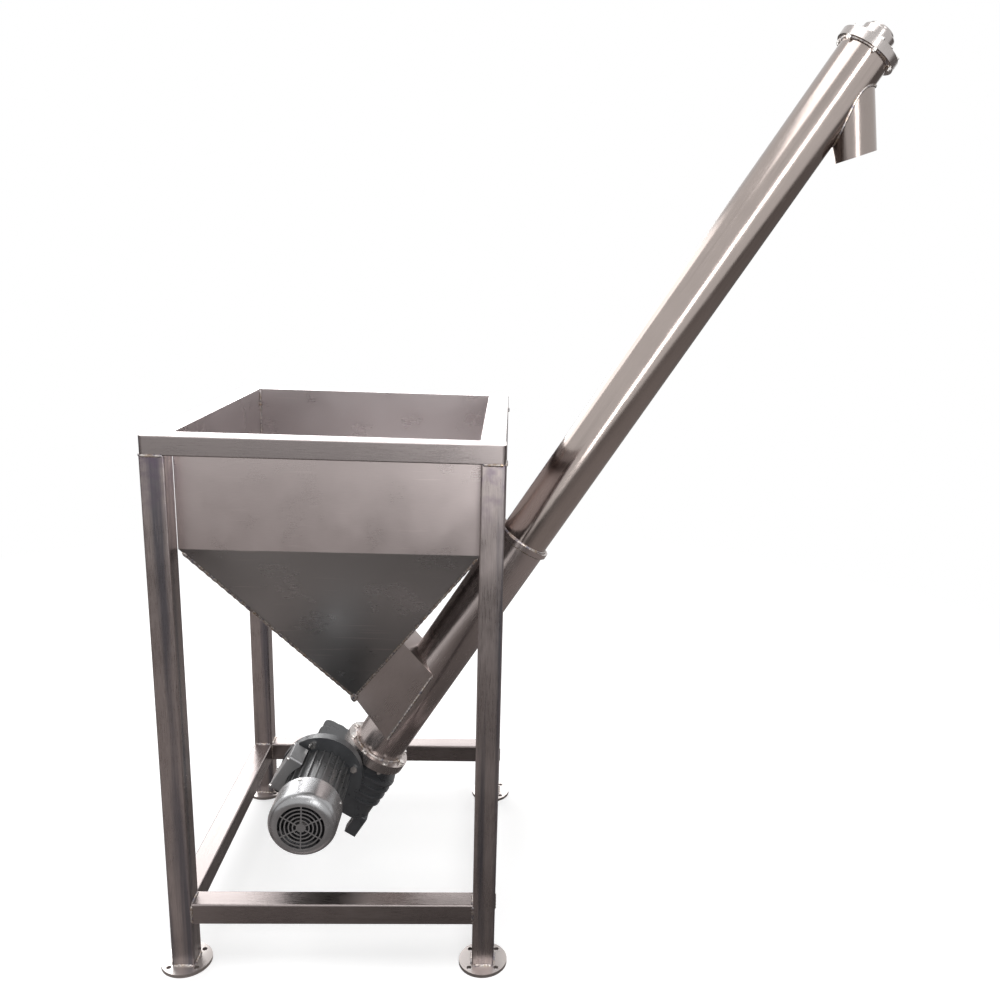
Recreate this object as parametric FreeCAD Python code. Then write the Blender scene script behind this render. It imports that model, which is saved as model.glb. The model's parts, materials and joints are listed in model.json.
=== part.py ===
import FreeCAD, Part
import math
import os
from FreeCAD import Vector

# Inclined screw conveyor with a square feed hopper on four legs.
# Millimetres. +Z is up, +X points to the discharge end, +Y points to the rear side.
# The origin lies on the floor at the centre of the four feet.

# Frame
frame_width = 720.0
frame_depth = 780.0
frame_height = 1215.0
leg_size = 50.0
leg_wall = 3.0
leg_corner_radius = 4.0
rim_width = 50.0
rim_height = 40.0
rim_wall = 2.0
rim_corner_radius = 9.0
rim_edge_radius = 2.5
rail_top = 165.0
rail_size = 50.0
foot_diameter = 110.0
foot_thickness = 8.0
foot_bolt_circle = 86.0
foot_hole_diameter = 11.0
foot_hole_count = 4

# Hopper
sheet = 3.0
band_height = 245.0
tip_x = 0.0
tip_height = 515.0
chute_cut_reach = 40.0

# Screw line: an inclined axis in the plane Y = 0, measured from where it crosses X = 0
screw_angle = 57.5
axis_height = 274.0
tube_diameter = 120.0
tube_wall = 3.0
tube_end = 2112.0
sleeve_diameter = 129.0
sleeve_start = 80.0
sleeve_end = 745.0
sleeve_overlap = 55.0
slip_clearance = 0.3
collar_diameter = 141.0
collar_width = 12.0
flange_diameter = 170.0
flange_thickness = 12.0
flange_bolt_circle = 151.0
flange_bolt_count = 8
flange_bolt_diameter = 8.0
bolt_clearance = 0.5
head_across = 13.0
head_height = 5.3
washer_diameter = 16.0
washer_height = 1.6
bolt_tail = 3.0

# Inlet chute between the hopper and the tube, as distances along the screw axis
chute_start = 148.0
chute_end = 357.0
chute_top_end = 393.0
chute_rise = 119.0

# Gusset between the hopper and the tube
gusset_thickness = 8.0
gusset_low = 18.0
gusset_high = 78.0
gusset_drop_low = 84.0
gusset_drop_high = 62.0

# Screw
core_diameter = 42.0
core_start = 96.0
core_end_margin = 24.0
flight_diameter = 108.0
flight_thickness = 4.0
feed_start = 120.0
feed_pitch = 90.0
feed_half_turns = 6
lift_pitch = 110.0
lift_end_gap = 120.0
drive_shaft_diameter = 35.0
running_clearance = 0.05

# Discharge
spout_setback = 57.0
spout_length = 179.0
spout_lean = 8.6
spout_slope = 20.0
spout_diameter = 98.0
spout_wall = 2.0
top_flange_diameter = 144.0
top_bolt_circle = 132.0
top_bolt_count = 6
top_bolt_diameter = 6.0
top_bolt_across = 10.0
top_bolt_head = 4.0
top_washer_diameter = 11.6
top_plate_thickness = 10.0
end_bearing_outer = 52.0
end_bearing_bore = 25.0
end_bearing_width = 15.0
end_housing_diameter = 78.0
end_housing_length = 34.0
end_housing_flange = 108.0
end_housing_flange_thickness = 10.0
end_housing_bolt_circle = 92.0
end_cap_height = 8.0
screw_head_share = 0.42
end_screw_diameter = 6.0
end_screw_across = 10.0
end_screw_depth = 16.0

# Worm gearbox, in the screw line's own frame
gear_centre = 2.0
worm_offset = 93.0
gearbox_lower_length = 82.0
gearbox_neck = 26.0
gearbox_width = 150.0
gearbox_bottom = 77.0
gearbox_bottom_radius = 48.0
gearbox_top = 44.0
gearbox_top_radius = 26.0
gearbox_wall = 9.0
gearbox_rib = 5.0
rib_depth = 5.0
rib_count = 4
rib_spacing = 22.0
neck_diameter = 132.0
foot_lug_length = 52.0
foot_lug_width = 34.0
foot_lug_height = 30.0
foot_lug_place = 46.0
foot_lug_hole = 11.0
end_recess = 1.0
worm_socket = 12.0
worm_cap_height = 6.0
output_cap_height = 8.0
gear_room = 4.0
wheel_width = 36.0
hub_diameter = 62.0
worm_diameter = 50.0
worm_length = 90.0
worm_shaft_diameter = 25.0
mesh_clearance = 0.6

# Motor on the gearbox, its axis parallel to Y towards the front
input_face = 98.0
motor_flange_diameter = 200.0
motor_flange_thickness = 12.0
motor_bolt_circle = 165.0
motor_bolt_count = 4
motor_bolt_diameter = 10.0
motor_bolt_across = 16.0
motor_bolt_depth = 22.0
motor_body_diameter = 128.0
motor_body_length = 168.0
motor_fin_height = 8.0
motor_fin_thickness = 3.0
motor_fin_count = 24
end_shield_length = 14.0
fan_cover_diameter = 156.0
fan_cover_length = 84.0
fan_cover_wall = 1.5
fan_cover_overlap = 22.0
fan_cover_radius = 22.0
fan_diameter = 122.0
fan_hub_diameter = 34.0
fan_blade_count = 7
fan_blade_thickness = 3.0
fan_width = 24.0
fan_gap = 5.0
rotor_shaft_diameter = 14.0
grille_ring_count = 5
grille_start = 11.0
grille_slot = 6.0
grille_bar = 3.0
grille_spokes = 6
box_width = 96.0
box_length = 70.0
box_gap = 8.0
box_height = 24.0
box_lid_height = 9.0
box_lid_overhang = 2.0
gland_diameter = 20.0

# Values that follow from the ones above
angle = math.radians(screw_angle)
axis_dir = Vector(math.cos(angle), 0, math.sin(angle))
normal_dir = Vector(-math.sin(angle), 0, math.cos(angle))
axis_origin = Vector(0, 0, axis_height)
leg_x = frame_width / 2 - leg_size / 2
leg_y = frame_depth / 2 - leg_size / 2
leg_top = frame_height - rim_height
hopper_x = frame_width / 2 - rim_width
hopper_y = frame_depth / 2 - rim_width
band_bottom = frame_height - band_height
tube_radius = tube_diameter / 2
sleeve_radius = sleeve_diameter / 2
sleeve_bore = tube_radius + slip_clearance
tube_start = sleeve_end - sleeve_overlap
chute_half = sleeve_radius
drive_plate_start = sleeve_start - flange_thickness
gearbox_top_face = drive_plate_start
gearbox_low_face = gear_centre - gearbox_lower_length
worm_radius = worm_diameter / 2
wheel_radius = worm_offset - worm_radius - mesh_clearance
tunnel_radius = worm_radius + gear_room + gearbox_wall
tunnel_end = gearbox_width / 2 + 12
motor_front = input_face + motor_flange_thickness
body_end = motor_front + motor_body_length
shield_end = body_end + end_shield_length
cover_start = body_end - fan_cover_overlap
cover_end = cover_start + fan_cover_length
lift_start = feed_start + feed_pitch * feed_half_turns / 2
lift_half_turns = int((tube_end - lift_end_gap - lift_start) / (lift_pitch / 2))
core_end = tube_end - core_end_margin
spout_angle = math.radians(spout_lean)
spout_dir = Vector(math.sin(spout_angle), 0, -math.cos(spout_angle))

nodes = {}


def add(name, shape):
    """Keep one named piece, cleaned of needless seams."""
    nodes[name] = shape


def tilt(shape):
    """Carry a shape from the screw line's frame (x up from the tube, y to the front, z along it)."""
    matrix = FreeCAD.Matrix(
        normal_dir.x, 0, axis_dir.x, axis_origin.x,
        normal_dir.y, -1, axis_dir.y, axis_origin.y,
        normal_dir.z, 0, axis_dir.z, axis_origin.z,
        0, 0, 0, 1)
    moved = shape.copy()
    moved.Placement = FreeCAD.Placement(matrix).multiply(moved.Placement)
    return moved


def line_point(along, above=0.0, front=0.0):
    """A point of the model given in the screw line's frame."""
    return axis_origin + axis_dir * along + normal_dir * above + Vector(0, -front, 0)


def rod(radius, start, end, x=0.0, y=0.0):
    """A cylinder along local z."""
    return Part.makeCylinder(radius, end - start, Vector(x, y, start))


def tube(outer, inner, start, end, x=0.0, y=0.0):
    """A hollow cylinder along local z."""
    return rod(outer, start, end, x, y).cut(rod(inner, start - 1, end + 1, x, y))


def cross_rod(radius, start, end, x, z):
    """A cylinder along local y."""
    return Part.makeCylinder(radius, end - start, Vector(x, start, z), Vector(0, 1, 0))


def block(x0, x1, y0, y1, z0, z1):
    return Part.makeBox(x1 - x0, y1 - y0, z1 - z0, Vector(x0, y0, z0))


def edges_along(shape, direction):
    """The straight edges of a shape that run along a direction."""
    found = []
    for edge in shape.Edges:
        if not isinstance(edge.Curve, Part.Line):
            continue
        if abs(abs(edge.tangentAt(edge.FirstParameter).dot(direction)) - 1) < 1e-6:
            found.append(edge)
    return found


def rounded_block(x0, x1, y0, y1, z0, z1, radius, direction):
    """A block with the edges along one direction rounded."""
    solid = block(x0, x1, y0, y1, z0, z1)
    return solid.makeFillet(radius, edges_along(solid, direction))


def box_section(x0, x1, y0, y1, z0, z1, wall, radius, direction, capped=False):
    """A hollow square section along one direction, open at its ends unless it is capped."""
    outer = rounded_block(x0, x1, y0, y1, z0, z1, radius, direction)
    end = wall if capped else -1.0
    grow = [end if abs(direction[k]) > 0.5 else wall for k in range(3)]
    inner = rounded_block(
        x0 + grow[0], x1 - grow[0], y0 + grow[1], y1 - grow[1], z0 + grow[2], z1 - grow[2],
        max(radius - wall, 0.5), direction)
    return outer.cut(inner)


def prism(points, direction):
    """A flat closed outline pushed along a direction."""
    wire = Part.makePolygon(points + [points[0]])
    return Part.Face(wire).extrude(direction)


def ring_points(circle, count, first=0.0):
    """Points evenly spaced on a circle, as pairs."""
    step = 2 * math.pi / count
    return [(circle / 2 * math.cos(first + k * step), circle / 2 * math.sin(first + k * step))
            for k in range(count)]


def hexagon(across, start, end, x, y):
    """A hexagonal bar along local z."""
    corner = across / math.sqrt(3)
    points = [Vector(x + corner * math.cos(k * math.pi / 3), y + corner * math.sin(k * math.pi / 3), start)
              for k in range(6)]
    return prism(points, Vector(0, 0, end - start))


def bolt(x, y, low, high, diameter, across, head, washer):
    """A bolt through plates from low to high, with its head on top and its nut below."""
    shank = rod(diameter / 2, low - head - washer_height - bolt_tail, high, x, y)
    cap = hexagon(across, high + washer_height, high + washer_height + head, x, y)
    nut = hexagon(across, low - washer_height - head, low - washer_height, x, y)
    washers = rod(washer / 2, high, high + washer_height, x, y).fuse(
        rod(washer / 2, low - washer_height, low, x, y))
    return shank.fuse([cap, nut, washers])


def cap_screw(x, y, face, depth, diameter, across, direction=1):
    """A hexagon-head screw whose head lies on a face normal to local z."""
    head_end = face + direction * across * screw_head_share
    low, high = sorted((face, head_end))
    head = hexagon(across, low, high, x, y)
    low, high = sorted((face - direction * depth, face))
    return head.fuse(rod(diameter / 2, low, high, x, y))


# Frame
def build_frame():
    for side_y, depth_name in ((-1, "front"), (1, "rear")):
        for side_x, width_name in ((-1, "left"), (1, "right")):
            x = side_x * leg_x
            y = side_y * leg_y
            half = leg_size / 2
            leg = box_section(x - half, x + half, y - half, y + half, foot_thickness, leg_top,
                              leg_wall, leg_corner_radius, Vector(0, 0, 1))
            add(f"leg_{depth_name}_{width_name}", leg)
            foot = rod(foot_diameter / 2, 0, foot_thickness, x, y)
            for hole_x, hole_y in ring_points(foot_bolt_circle, foot_hole_count, math.pi / 4):
                foot = foot.cut(rod(foot_hole_diameter / 2, -1, foot_thickness + 1, x + hole_x, y + hole_y))
            add(f"foot_plate_{depth_name}_{width_name}", foot)


def build_rails():
    inner_x = leg_x - leg_size / 2
    inner_y = leg_y - leg_size / 2
    half = rail_size / 2
    low = rail_top - rail_size
    for side, name in ((-1, "front"), (1, "rear")):
        y = side * leg_y
        add(f"lower_rail_{name}", box_section(-inner_x, inner_x, y - half, y + half, low, rail_top,
                                              leg_wall, leg_corner_radius, Vector(1, 0, 0)))
    for side, name in ((-1, "left"), (1, "right")):
        x = side * leg_x
        add(f"lower_rail_{name}", box_section(x - half, x + half, -inner_y, inner_y, low, rail_top,
                                              leg_wall, leg_corner_radius, Vector(0, 1, 0)))


def build_rim():
    outer_x = frame_width / 2
    outer_y = frame_depth / 2
    for side, name in ((-1, "front"), (1, "rear")):
        y0, y1 = sorted((side * outer_y, side * hopper_y))
        bar = box_section(-outer_x, outer_x, y0, y1, leg_top, frame_height,
                          rim_wall, rim_edge_radius, Vector(1, 0, 0), capped=True)
        trim = block(-outer_x, outer_x, y0, y1, leg_top - 1, frame_height + 1)
        outside = [edge for edge in edges_along(trim, Vector(0, 0, 1))
                   if abs(edge.CenterOfMass.y - side * outer_y) < 1]
        trim = trim.makeFillet(rim_corner_radius, outside)
        add(f"top_rim_{name}", bar.common(trim))
    for side, name in ((-1, "left"), (1, "right")):
        x0, x1 = sorted((side * outer_x, side * hopper_x))
        add(f"top_rim_{name}", box_section(x0, x1, -hopper_y, hopper_y, leg_top, frame_height,
                                           rim_wall, rim_edge_radius, Vector(0, 1, 0)))


# Hopper
def half_space(point, normal, depth):
    """Everything behind a plane through a point, where the normal points out, as one large block."""
    unit = Vector(normal).normalize()
    across = Vector(0, 1, 0) if abs(unit.y) < 0.7 else Vector(1, 0, 0)
    side = unit.cross(across).normalize()
    across = side.cross(unit).normalize()
    centre = point - unit * depth
    reach = 2 * frame_height
    signs = ((1, 1), (1, -1), (-1, -1), (-1, 1))
    corners = [centre + side * reach * i + across * reach * j for i, j in signs]
    return prism(corners, unit * -reach)


def slope_planes():
    """A point and an outward normal for each of the four sloping walls."""
    fall = band_bottom - tip_height
    run_y = hopper_y - chute_half - sheet
    return {
        "left": (Vector(-hopper_x, 0, band_bottom), Vector(-fall, 0, -hopper_x - tip_x)),
        "right": (Vector(hopper_x, 0, band_bottom), Vector(fall, 0, -hopper_x + tip_x)),
        "front": (Vector(0, -hopper_y, band_bottom), Vector(0, -fall, -run_y)),
        "rear": (Vector(0, hopper_y, band_bottom), Vector(0, fall, -run_y))}


def hopper_form(left=0.0, right=0.0, front=0.0, rear=0.0):
    """The hopper as a filled form, each side moved inwards by its own distance."""
    form = block(-hopper_x + left, hopper_x - right, -hopper_y + front, hopper_y - rear, 0, frame_height)
    moved = {"left": left, "right": right, "front": front, "rear": rear}
    for name, (point, normal) in slope_planes().items():
        form = form.common(half_space(point, normal, moved[name]))
    return form


def build_hopper():
    between = hopper_form(front=sheet, rear=sheet)
    inside_left = hopper_form(sheet, 0, sheet, sheet)
    walls = {
        "front": hopper_form().cut(hopper_form(front=sheet)),
        "rear": hopper_form().cut(hopper_form(rear=sheet)),
        "left": between.cut(inside_left),
        "right": inside_left.cut(hopper_form(sheet, sheet, sheet, sheet)).cut(chute_passage(chute_cut_reach))}
    for name, wall in walls.items():
        add(f"hopper_wall_{name}", wall)


def wall_crossing(low, high):
    """Where a line in the plane Y = 0 crosses the outer face of the hopper's right wall."""
    point, normal = slope_planes()["right"]
    run = high - low
    return low + run * (normal.dot(point - low) / normal.dot(run))


# Inlet chute
def chute_outline(inward=0.0, beyond=0.0):
    """The chute's side outline in the plane Y = 0: two corners on the axis, two on the hopper wall."""
    foot = line_point(chute_start)
    head = line_point(chute_end)
    low_run = Vector(tip_x, 0, tip_height) - foot
    high_run = line_point(chute_top_end, chute_rise) - head
    foot = foot + axis_dir * (inward * low_run.Length / low_run.dot(normal_dir))
    head = head - axis_dir * (inward * high_run.Length / high_run.dot(normal_dir))
    low_top = wall_crossing(foot, foot + low_run) + Vector(low_run).normalize() * beyond
    high_top = wall_crossing(head, head + high_run) + Vector(high_run).normalize() * beyond
    return [foot, low_top, high_top, head]


def build_chute():
    outline = chute_outline()
    inside = chute_outline(sheet)
    for side, name in ((-1, "front"), (1, "rear")):
        face = [point + Vector(0, side * chute_half, 0) for point in outline]
        add(f"chute_side_{name}", prism(face, Vector(0, side * sheet, 0)))
    bore = tilt(rod(sleeve_radius, 0, sleeve_end))
    across = Vector(0, 2 * chute_half, 0)
    back = Vector(0, -chute_half, 0)
    low = prism([outline[0] + back, outline[1] + back, inside[1] + back, inside[0] + back], across)
    high = prism([outline[3] + back, outline[2] + back, inside[2] + back, inside[3] + back], across)
    add("chute_end_lower", low.cut(bore))
    add("chute_end_upper", high.cut(bore))


# Tube
def chute_passage(beyond=0.0):
    """The space inside the chute, which opens the top half of the tube and the hopper's right wall."""
    inside = chute_outline(sheet, beyond)
    return prism([point + Vector(0, -chute_half, 0) for point in inside], Vector(0, 2 * chute_half, 0))


def build_tube():
    sleeve = tilt(tube(sleeve_radius, sleeve_bore, sleeve_start, sleeve_end))
    add("lower_tube", sleeve.cut(chute_passage()))
    upper = tilt(tube(tube_radius, tube_radius - tube_wall, tube_start, tube_end))
    mouth = Part.makeCylinder(spout_diameter / 2 - spout_wall, spout_length, spout_crossing(), spout_dir)
    add("upper_tube", upper.cut(mouth))
    add("joint_collar", tilt(tube(collar_diameter / 2, tube_radius + slip_clearance,
                                  sleeve_end, sleeve_end + collar_width)))


def build_gusset():
    """A plate from the hopper's right wall down to the tube, square to neither."""
    corners = []
    for height, drop in ((gusset_low, gusset_drop_low), (gusset_high, gusset_drop_high)):
        wall = Vector(hopper_x, 0, band_bottom + height)
        along = (wall - axis_origin).dot(axis_dir) - drop
        corners.append((wall, line_point(along, sleeve_radius / 2)))
    points = [corners[0][0], corners[1][0], corners[1][1], corners[0][1]]
    plate = prism(points, Vector(0, gusset_thickness, 0))
    plate.translate(Vector(0, -gusset_thickness / 2, 0))
    clear = tilt(rod(sleeve_radius, 0, sleeve_end)).fuse([
        tilt(rod(collar_diameter / 2, sleeve_end, sleeve_end + collar_width)),
        tilt(rod(tube_radius, sleeve_end, tube_end))])
    add("tube_gusset", plate.cut(clear))


def spout_crossing():
    """Where the spout's axis crosses the screw axis."""
    return line_point(tube_end - spout_setback)


def build_spout():
    """A spout that leans away from the hopper, its open end cut on a slope that rises the same way."""
    crossing = spout_crossing()
    length = spout_length + spout_diameter
    outer = Part.makeCylinder(spout_diameter / 2, length, crossing, spout_dir)
    inner = Part.makeCylinder(spout_diameter / 2 - spout_wall, length, crossing, spout_dir)
    slope = math.radians(spout_slope)
    up = Vector(-math.sin(slope), 0, math.cos(slope))
    open_end = half_space(crossing + spout_dir * spout_length, up, 0)
    add("discharge_spout", outer.cut(inner).cut(open_end).cut(tilt(rod(tube_radius, 0, tube_end))))


# Flanges and their bolts
def build_lower_flange():
    ring = tube(flange_diameter / 2, sleeve_radius, sleeve_start, sleeve_start + flange_thickness)
    plate = tube(flange_diameter / 2, drive_shaft_diameter / 2 + 2, drive_plate_start, sleeve_start)
    seal_pocket = rod(seal_radius(), drive_plate_start + 4, sleeve_start + 1)
    plate = plate.cut(seal_pocket)
    bolts = []
    for x, y in ring_points(flange_bolt_circle, flange_bolt_count, math.pi / flange_bolt_count):
        hole = rod(flange_bolt_diameter / 2 + bolt_clearance, drive_plate_start - 1,
                   sleeve_start + flange_thickness + 1, x, y)
        ring = ring.cut(hole)
        plate = plate.cut(hole)
        bolts.append(tilt(bolt(x, y, drive_plate_start, sleeve_start + flange_thickness,
                               flange_bolt_diameter, head_across, head_height, washer_diameter)))
    add("tube_end_flange", tilt(ring))
    add("drive_plate", tilt(plate))
    add("end_flange_bolts", Part.makeCompound(bolts))
    bore = drive_shaft_diameter / 2 + running_clearance
    seal = tube(seal_radius(), bore, drive_plate_start + 4, sleeve_start)
    add("shaft_seal", tilt(seal))


def seal_radius():
    return drive_shaft_diameter / 2 + 9


def build_top_end():
    low = tube_end - top_plate_thickness
    flange = tube(top_flange_diameter / 2, tube_radius, low, tube_end)
    cover = tube(top_flange_diameter / 2, end_bearing_bore / 2 + 2, tube_end, tube_end + top_plate_thickness)
    bolts = []
    for x, y in ring_points(top_bolt_circle, top_bolt_count, math.pi / top_bolt_count):
        hole = rod(top_bolt_diameter / 2 + bolt_clearance, low - 1, tube_end + top_plate_thickness + 1, x, y)
        flange = flange.cut(hole)
        cover = cover.cut(hole)
        bolts.append(tilt(bolt(x, y, low, tube_end + top_plate_thickness,
                               top_bolt_diameter, top_bolt_across, top_bolt_head, top_washer_diameter)))
    add("top_flange", tilt(flange))
    add("top_cover", tilt(cover))
    add("top_flange_bolts", Part.makeCompound(bolts))
    face = tube_end + top_plate_thickness
    end = face + end_housing_length
    housing = rod(end_housing_diameter / 2, face, end)
    housing = housing.makeFillet(3, [e for e in housing.Edges if abs(e.CenterOfMass.z - end) < 0.1])
    foot = rod(end_housing_flange / 2, face, face + end_housing_flange_thickness)
    housing = housing.fuse(foot)
    seat_start = end - 4 - end_bearing_width
    housing = housing.cut(rod(end_bearing_outer / 2, seat_start, end + 1))
    housing = housing.cut(rod(end_bearing_bore / 2 + 2, face - 1, end + 1))
    screws = []
    for x, y in ring_points(end_housing_bolt_circle, 4, math.pi / 4):
        hole_radius = end_screw_diameter / 2 + bolt_clearance / 2
        housing = housing.cut(rod(hole_radius, face - 1, face + end_housing_flange_thickness + 1, x, y))
        nodes["top_cover"] = nodes["top_cover"].cut(tilt(rod(hole_radius, tube_end - 1, face + 1, x, y)))
        screws.append(tilt(cap_screw(x, y, face + end_housing_flange_thickness, end_screw_depth,
                                     end_screw_diameter, end_screw_across)))
    add("end_bearing_housing", tilt(housing))
    add("end_housing_screws", Part.makeCompound(screws))
    add_bearing(seat_start)
    cap = rod(end_bearing_outer / 2 + 5, end, end + end_cap_height)
    cap = cap.makeFillet(2.5, [e for e in cap.Edges if abs(e.CenterOfMass.z - end - end_cap_height) < 0.1])
    spigot = tube(end_bearing_outer / 2 - slip_clearance, end_bearing_outer / 2 - 4, end - 4, end)
    add("end_bearing_cap", tilt(cap.fuse(spigot)))


def add_bearing(start):
    """A ball bearing as its outer ring, its inner ring and its balls."""
    outer = end_bearing_outer / 2
    bore = end_bearing_bore / 2
    middle = (outer + bore) / 2
    ball = (outer - bore) * 0.3
    centre = start + end_bearing_width / 2
    groove = Part.makeTorus(middle, ball + running_clearance, Vector(0, 0, centre))
    race_out = tube(outer, middle + 2.2, start, start + end_bearing_width).cut(groove)
    race_in = tube(middle - 2.2, bore, start, start + end_bearing_width).cut(groove)
    balls = [Part.makeSphere(ball, Vector(x, y, centre)) for x, y in ring_points(2 * middle, 8)]
    add("end_bearing_outer_ring", tilt(race_out))
    add("end_bearing_inner_ring", tilt(race_in))
    add("end_bearing_balls", Part.makeCompound([tilt(item) for item in balls]))


# Screw
def build_screw():
    bearing_seat = tube_end + top_plate_thickness + end_housing_length - 4 - end_bearing_width
    stub = rod(drive_shaft_diameter / 2, gearbox_low_face - 2 * end_recess, core_start)
    core = rod(core_diameter / 2, core_start, core_end)
    journal = rod(end_bearing_bore / 2, core_end, bearing_seat + end_bearing_width + 2)
    shoulder = rod(end_bearing_bore / 2 + 1.8, core_end, bearing_seat - 0.2)
    add("screw_shaft", tilt(stub.fuse([core, journal, shoulder])))
    add("feed_flight", tilt(helicoid(feed_pitch, feed_half_turns, feed_start, 0)))
    add("screw_flight", tilt(helicoid(lift_pitch, lift_half_turns, lift_start, feed_half_turns)))


def helicoid(pitch, half_turns, start, turned):
    """The spiral blade: a face between two helices of the same hand, given its thickness along the axis."""
    same_way = 1
    inner = Part.makeHelix(pitch, pitch * half_turns / 2, core_diameter / 2)
    outer = Part.makeHelix(pitch, pitch * half_turns / 2, flight_diameter / 2)
    blade = Part.makeRuledSurface(inner.Edges[0], outer.Edges[0], same_way)
    blade = blade.extrude(Vector(0, 0, flight_thickness))
    blade.rotate(Vector(0, 0, 0), Vector(0, 0, 1), 180.0 * turned)
    blade.translate(Vector(0, 0, start))
    return blade


# Gearbox
def gearbox_profile(grow, start, end):
    """The rounded case outline, square to the screw axis."""
    half = gearbox_width / 2 + grow
    high = worm_offset + gearbox_top + grow
    solid = block(-gearbox_bottom - grow, high, -half, half, start, end)
    bottom = [edge for edge in edges_along(solid, Vector(0, 0, 1)) if edge.CenterOfMass.x < 0]
    solid = solid.makeFillet(gearbox_bottom_radius, bottom)
    top = [edge for edge in edges_along(solid, Vector(0, 0, 1)) if edge.CenterOfMass.x > high - 1]
    return solid.makeFillet(gearbox_top_radius, top)


def foot_lug(side):
    """A cast foot under the case, pierced for a bolt."""
    low = -gearbox_bottom
    y = side * foot_lug_place
    lug = rounded_block(low, low + foot_lug_height, y - foot_lug_width / 2, y + foot_lug_width / 2,
                        gearbox_low_face - foot_lug_length, gearbox_low_face + gearbox_wall, 4,
                        Vector(1, 0, 0))
    hole = Part.makeCylinder(foot_lug_hole / 2, foot_lug_height + 2,
                             Vector(low - 1, y, gearbox_low_face - foot_lug_length / 2), Vector(1, 0, 0))
    return lug.cut(hole)


def build_gearbox():
    shoulder = gearbox_top_face - gearbox_neck
    flange_back = input_face - motor_flange_thickness
    case = gearbox_profile(0, gearbox_low_face, shoulder)
    ribs = [gearbox_profile(rib_depth, shoulder - gearbox_rib - k * rib_spacing, shoulder - k * rib_spacing)
            for k in range(rib_count)]
    neck = rod(neck_diameter / 2, shoulder, gearbox_top_face)
    tunnel = cross_rod(tunnel_radius, -tunnel_end, flange_back, worm_offset, gear_centre)
    flange = cross_rod(motor_flange_diameter / 2, flange_back, input_face, worm_offset, gear_centre)
    case = case.fuse([neck, tunnel, flange, foot_lug(-1), foot_lug(1)] + ribs)
    half_wheel = wheel_width / 2
    wheel_room = rod(wheel_radius + gear_room, gear_centre - half_wheel - gear_room,
                     gear_centre + half_wheel + gear_room)
    hub_room = rod(hub_diameter / 2 + running_clearance, gearbox_low_face - 1, gearbox_top_face + 1)
    worm_room = cross_rod(worm_radius + gear_room, -worm_length / 2 - gear_room, worm_length / 2 + gear_room,
                          worm_offset, gear_centre)
    shaft_room = cross_rod(worm_shaft_diameter / 2 + running_clearance, -tunnel_end - 1, input_face + 1,
                           worm_offset, gear_centre)
    case = case.cut(wheel_room.fuse([hub_room, worm_room, shaft_room]))
    for x, z in motor_bolt_places():
        case = case.cut(cross_rod(motor_bolt_diameter / 2, motor_front - motor_bolt_depth, motor_front, x, z))
    add("gearbox_housing", tilt(case))
    hub = rod(hub_diameter / 2, gearbox_low_face + end_recess, gearbox_top_face - end_recess)
    wheel = rod(wheel_radius, gear_centre - half_wheel, gear_centre + half_wheel)
    wheel = wheel.fuse(hub).cut(rod(drive_shaft_diameter / 2, gearbox_low_face - 1, gearbox_top_face + 1))
    add("worm_wheel", tilt(wheel))
    worm = cross_rod(worm_radius, -worm_length / 2, worm_length / 2, worm_offset, gear_centre)
    shaft = cross_rod(worm_shaft_diameter / 2, -tunnel_end + 2 * end_recess, input_face - worm_socket,
                      worm_offset, gear_centre)
    add("worm_shaft", tilt(worm.fuse(shaft)))
    cap = cross_rod(tunnel_radius - 3, -tunnel_end - worm_cap_height, -tunnel_end, worm_offset, gear_centre)
    add("worm_end_cap", tilt(cap))
    cap_end = gearbox_low_face - output_cap_height
    low_cap = rod(hub_diameter / 2 + 6, cap_end, gearbox_low_face)
    rim = [edge for edge in low_cap.Edges if abs(edge.CenterOfMass.z - cap_end) < 0.1]
    low_cap = low_cap.makeFillet(3, rim)
    low_cap = low_cap.cut(rod(drive_shaft_diameter / 2 + 4, cap_end + 3, gearbox_low_face + 1))
    add("output_cap", tilt(low_cap))


def motor_bolt_places():
    """Centres of the motor flange's bolts, across the screw line's frame."""
    return [(worm_offset + x, gear_centre + z)
            for x, z in ring_points(motor_bolt_circle, motor_bolt_count, math.pi / motor_bolt_count)]


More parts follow.
